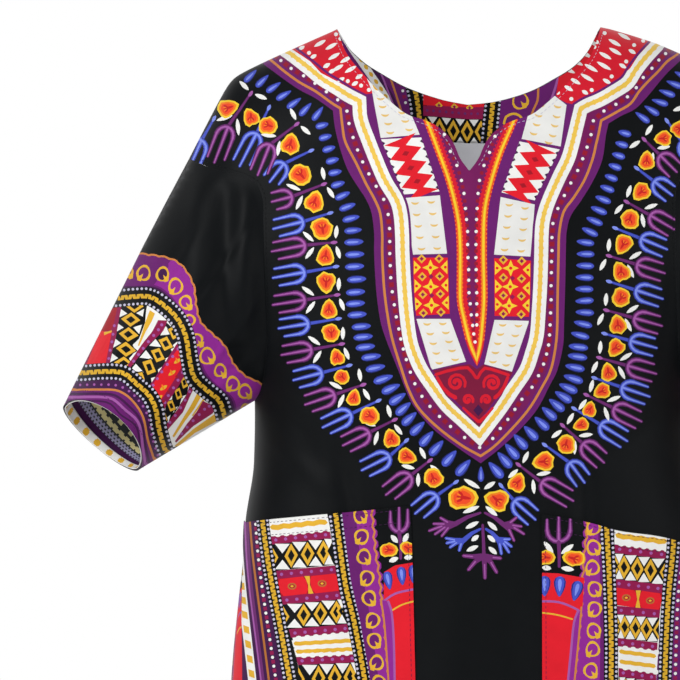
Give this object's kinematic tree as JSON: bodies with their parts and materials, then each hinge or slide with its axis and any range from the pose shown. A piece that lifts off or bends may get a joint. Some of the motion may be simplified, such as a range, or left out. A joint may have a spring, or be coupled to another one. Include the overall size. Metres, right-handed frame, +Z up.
{
  "type": "dashiki shirt",
  "caption": "Dashiki shirt in its worn form: wide neck with a V notch, short set-in sleeves, waist darts and patch pockets; hollow, open at neck, cuffs and hem.",
  "frame": {"origin": "midway between the shoulder points, level with them, between front and back", "axes": "+Z up, -Y towards the front of the shirt, -X towards the wearer's right sleeve"},
  "size_m": [0.7242, 0.2313, 0.7452],
  "materials": {
    "print_cloth": "plain-weave cotton, printed on black",
    "border_print": "plain-weave cotton, border print in purple, crimson, gold and white",
    "hem_selvage": "printed selvage, white with gold dashes",
    "label_tape": "woven tape, blank"
  },
  "bodies": {
    "root": {"front": "print_cloth", "back": "print_cloth", "sleeve_right": "print_cloth", "sleeve_left": "print_cloth", "cuff_hem_right": "hem_selvage", "cuff_hem_left": "hem_selvage", "back_neck_facing": "border_print", "pocket_right": "border_print", "pocket_left": "border_print", "label": "label_tape"}
  },
  "joints": []
}
